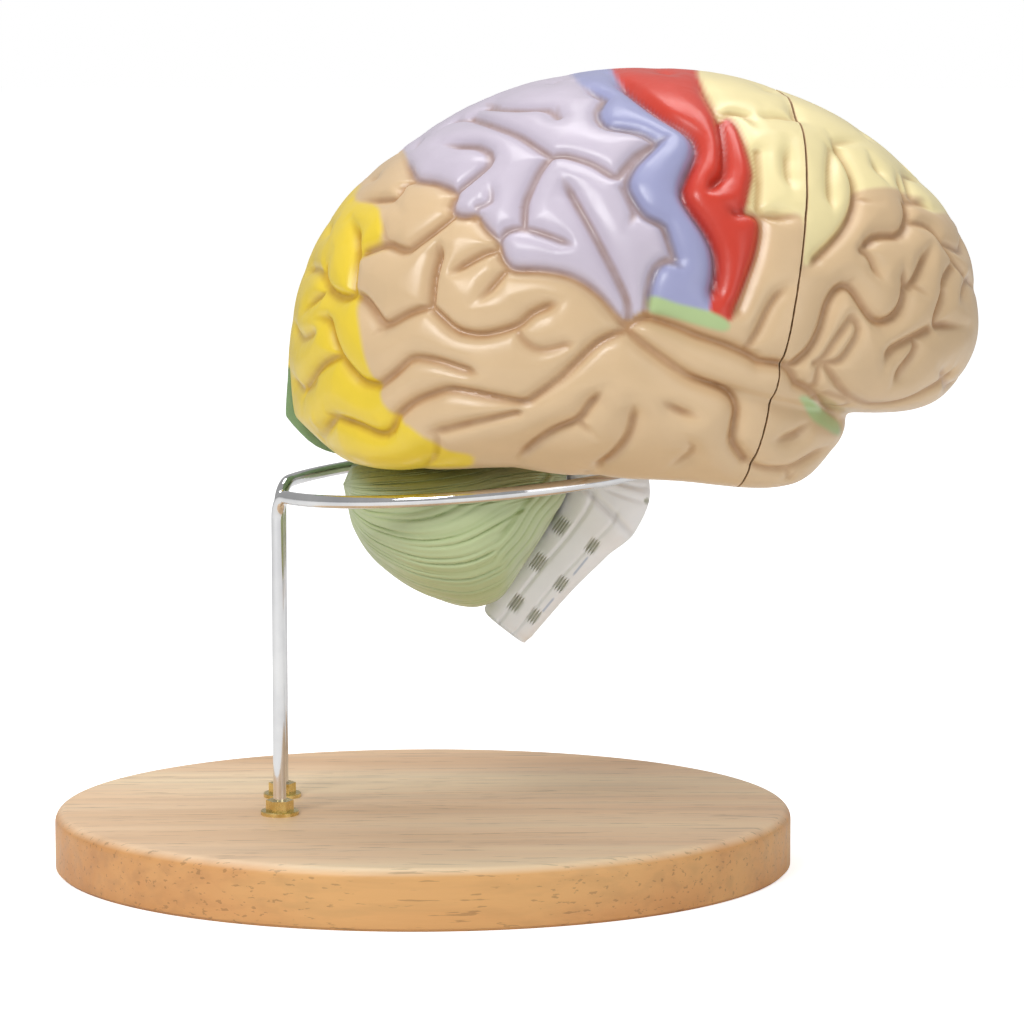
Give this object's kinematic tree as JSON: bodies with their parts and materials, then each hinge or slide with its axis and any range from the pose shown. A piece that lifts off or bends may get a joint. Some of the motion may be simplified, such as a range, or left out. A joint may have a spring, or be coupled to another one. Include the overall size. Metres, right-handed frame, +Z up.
{
  "type": "brain anatomy model",
  "caption": "Life-size painted brain model in two halves with removable frontal parts, cerebellum and brainstem, carried by a bent wire ring on an oval wooden board.",
  "frame": {"origin": "middle of the oval board's underside, on the surface it stands on", "axes": "+X to the front of the brain, +Y to its left side, +Z up"},
  "size_m": [0.2306, 0.153, 0.1998],
  "materials": {
    "wood": "satin varnish on pale hardwood",
    "chrome": "bright plated wire",
    "brass": "turned, slightly dulled",
    "steel": "plain ground pin",
    "painted_tan": "cast plastic, hand painted by region, satin lacquer",
    "painted_green": "cast plastic, painted pale green",
    "painted_white": "cast plastic, painted off-white"
  },
  "bodies": {
    "stand": {"base_board": "wood", "ring_rod": "chrome", "upper_washers": "brass", "upper_nuts": "brass", "lower_washers": "brass", "lower_nuts": "brass", "right_cerebellum": "painted_green", "left_cerebellum": "painted_green", "right_brainstem": "painted_white", "left_brainstem": "painted_white", "cerebellum_pins": "steel", "brainstem_pins": "steel"},
    "right_hemisphere": {"right_rear_hemisphere": "painted_tan", "right_frontal_pins": "steel"},
    "left_hemisphere": {"left_rear_hemisphere": "painted_tan", "left_frontal_pins": "steel", "midline_pins": "steel"},
    "right_frontal": {"right_frontal_part": "painted_tan"},
    "left_frontal": {"left_frontal_part": "painted_tan"}
  },
  "joints": [
    {"name": "right_hemisphere_slide", "type": "slide", "parent": "stand", "child": "right_hemisphere", "axis": [0, -1, 0], "range_m": [0, 0.06]},
    {"name": "left_hemisphere_slide", "type": "slide", "parent": "stand", "child": "left_hemisphere", "axis": [0, 1, 0], "range_m": [0, 0.06]},
    {"name": "right_frontal_slide", "type": "slide", "parent": "right_hemisphere", "child": "right_frontal", "axis": [1, 0, 0], "range_m": [0, 0.06]},
    {"name": "left_frontal_slide", "type": "slide", "parent": "left_hemisphere", "child": "left_frontal", "axis": [1, 0, 0], "range_m": [0, 0.06]}
  ]
}
